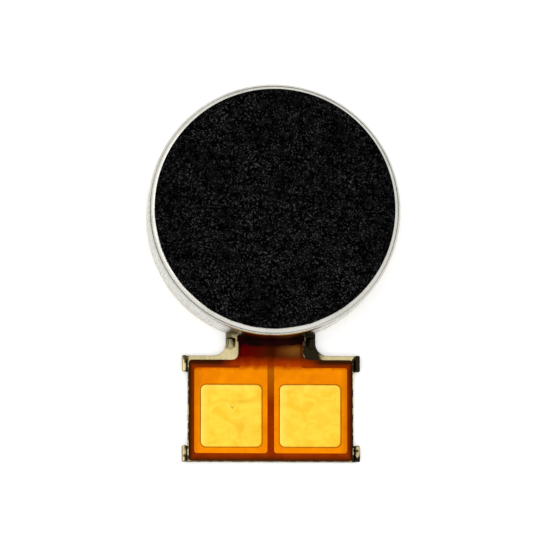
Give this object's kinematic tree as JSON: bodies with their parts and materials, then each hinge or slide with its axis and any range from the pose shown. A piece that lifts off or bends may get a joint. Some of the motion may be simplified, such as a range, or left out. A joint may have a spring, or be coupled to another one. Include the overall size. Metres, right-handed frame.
{
  "type": "vibration coin motor",
  "caption": "Flat coin-shaped vibration motor with an eccentric rotor in a round metal can, a foam cushion and a flexible circuit tail with bare contact pads.",
  "frame": {"origin": "centre of the can on the bracket's underside", "axes": "+Z along the shaft, out through the can's top and the foam; the circuit tail points along -Y; +X to the right when the foam faces the viewer and the tail points down"},
  "size_m": [0.01, 0.0149, 0.0033],
  "materials": {
    "can_steel": "satin nickel plate",
    "bracket_steel": "satin stamped stainless steel",
    "shaft_steel": "ground steel",
    "foam": "matt fine-celled foam",
    "tape": "translucent pressure-sensitive adhesive",
    "base_film": "polyimide, satin",
    "cover_film": "translucent amber polyimide, semi-gloss",
    "copper": "rolled copper foil",
    "gold": "matt electroplated gold",
    "seal_resin": "cured resin",
    "magnet": "nickel-plated sintered magnet",
    "solder": "bright solder",
    "brush_alloy": "spring alloy",
    "washer_film": "milky film",
    "sintered_bronze": "oil-filled sintered bronze",
    "board": "glass-fibre laminate, satin",
    "winding": "enamelled copper wire",
    "tungsten": "sintered tungsten alloy",
    "moulding_resin": "filled resin, matt"
  },
  "bodies": {
    "stator": {"case": "can_steel", "bracket": "bracket_steel", "shaft": "shaft_steel", "fpc_adhesive": "tape", "fpc_base_film": "base_film", "copper_left": "copper", "copper_right": "copper", "fpc_coverlay": "cover_film", "contact_pad_left": "gold", "contact_pad_right": "gold", "slot_seal": "seal_resin", "magnet_adhesive": "tape", "ring_magnet": "magnet", "brush_solder": "solder", "brush_left": "brush_alloy", "brush_right": "brush_alloy", "foam_adhesive": "tape", "foam_pad": "foam"},
    "rotor": {"rotor_bearing": "sintered_bronze", "rotor_board": "board", "commutator": "gold", "coil_solder": "solder", "coil_left": "winding", "coil_right": "winding", "counterweight": "tungsten", "rotor_moulding": "moulding_resin"},
    "washer_below": {"lower_washer": "washer_film"},
    "washer_above": {"upper_washer": "washer_film"}
  },
  "joints": [
    {"name": "rotor_spin", "type": "hinge", "parent": "stator", "child": "rotor", "pos_m": [0, 0, 0.00137], "axis": [0, 0, 1], "continuous": true},
    {"name": "lower_washer_spin", "type": "hinge", "parent": "stator", "child": "washer_below", "pos_m": [0, 0, 0.00056], "axis": [0, 0, 1], "continuous": true},
    {"name": "upper_washer_spin", "type": "hinge", "parent": "stator", "child": "washer_above", "pos_m": [0, 0, 0.00257], "axis": [0, 0, 1], "continuous": true}
  ]
}
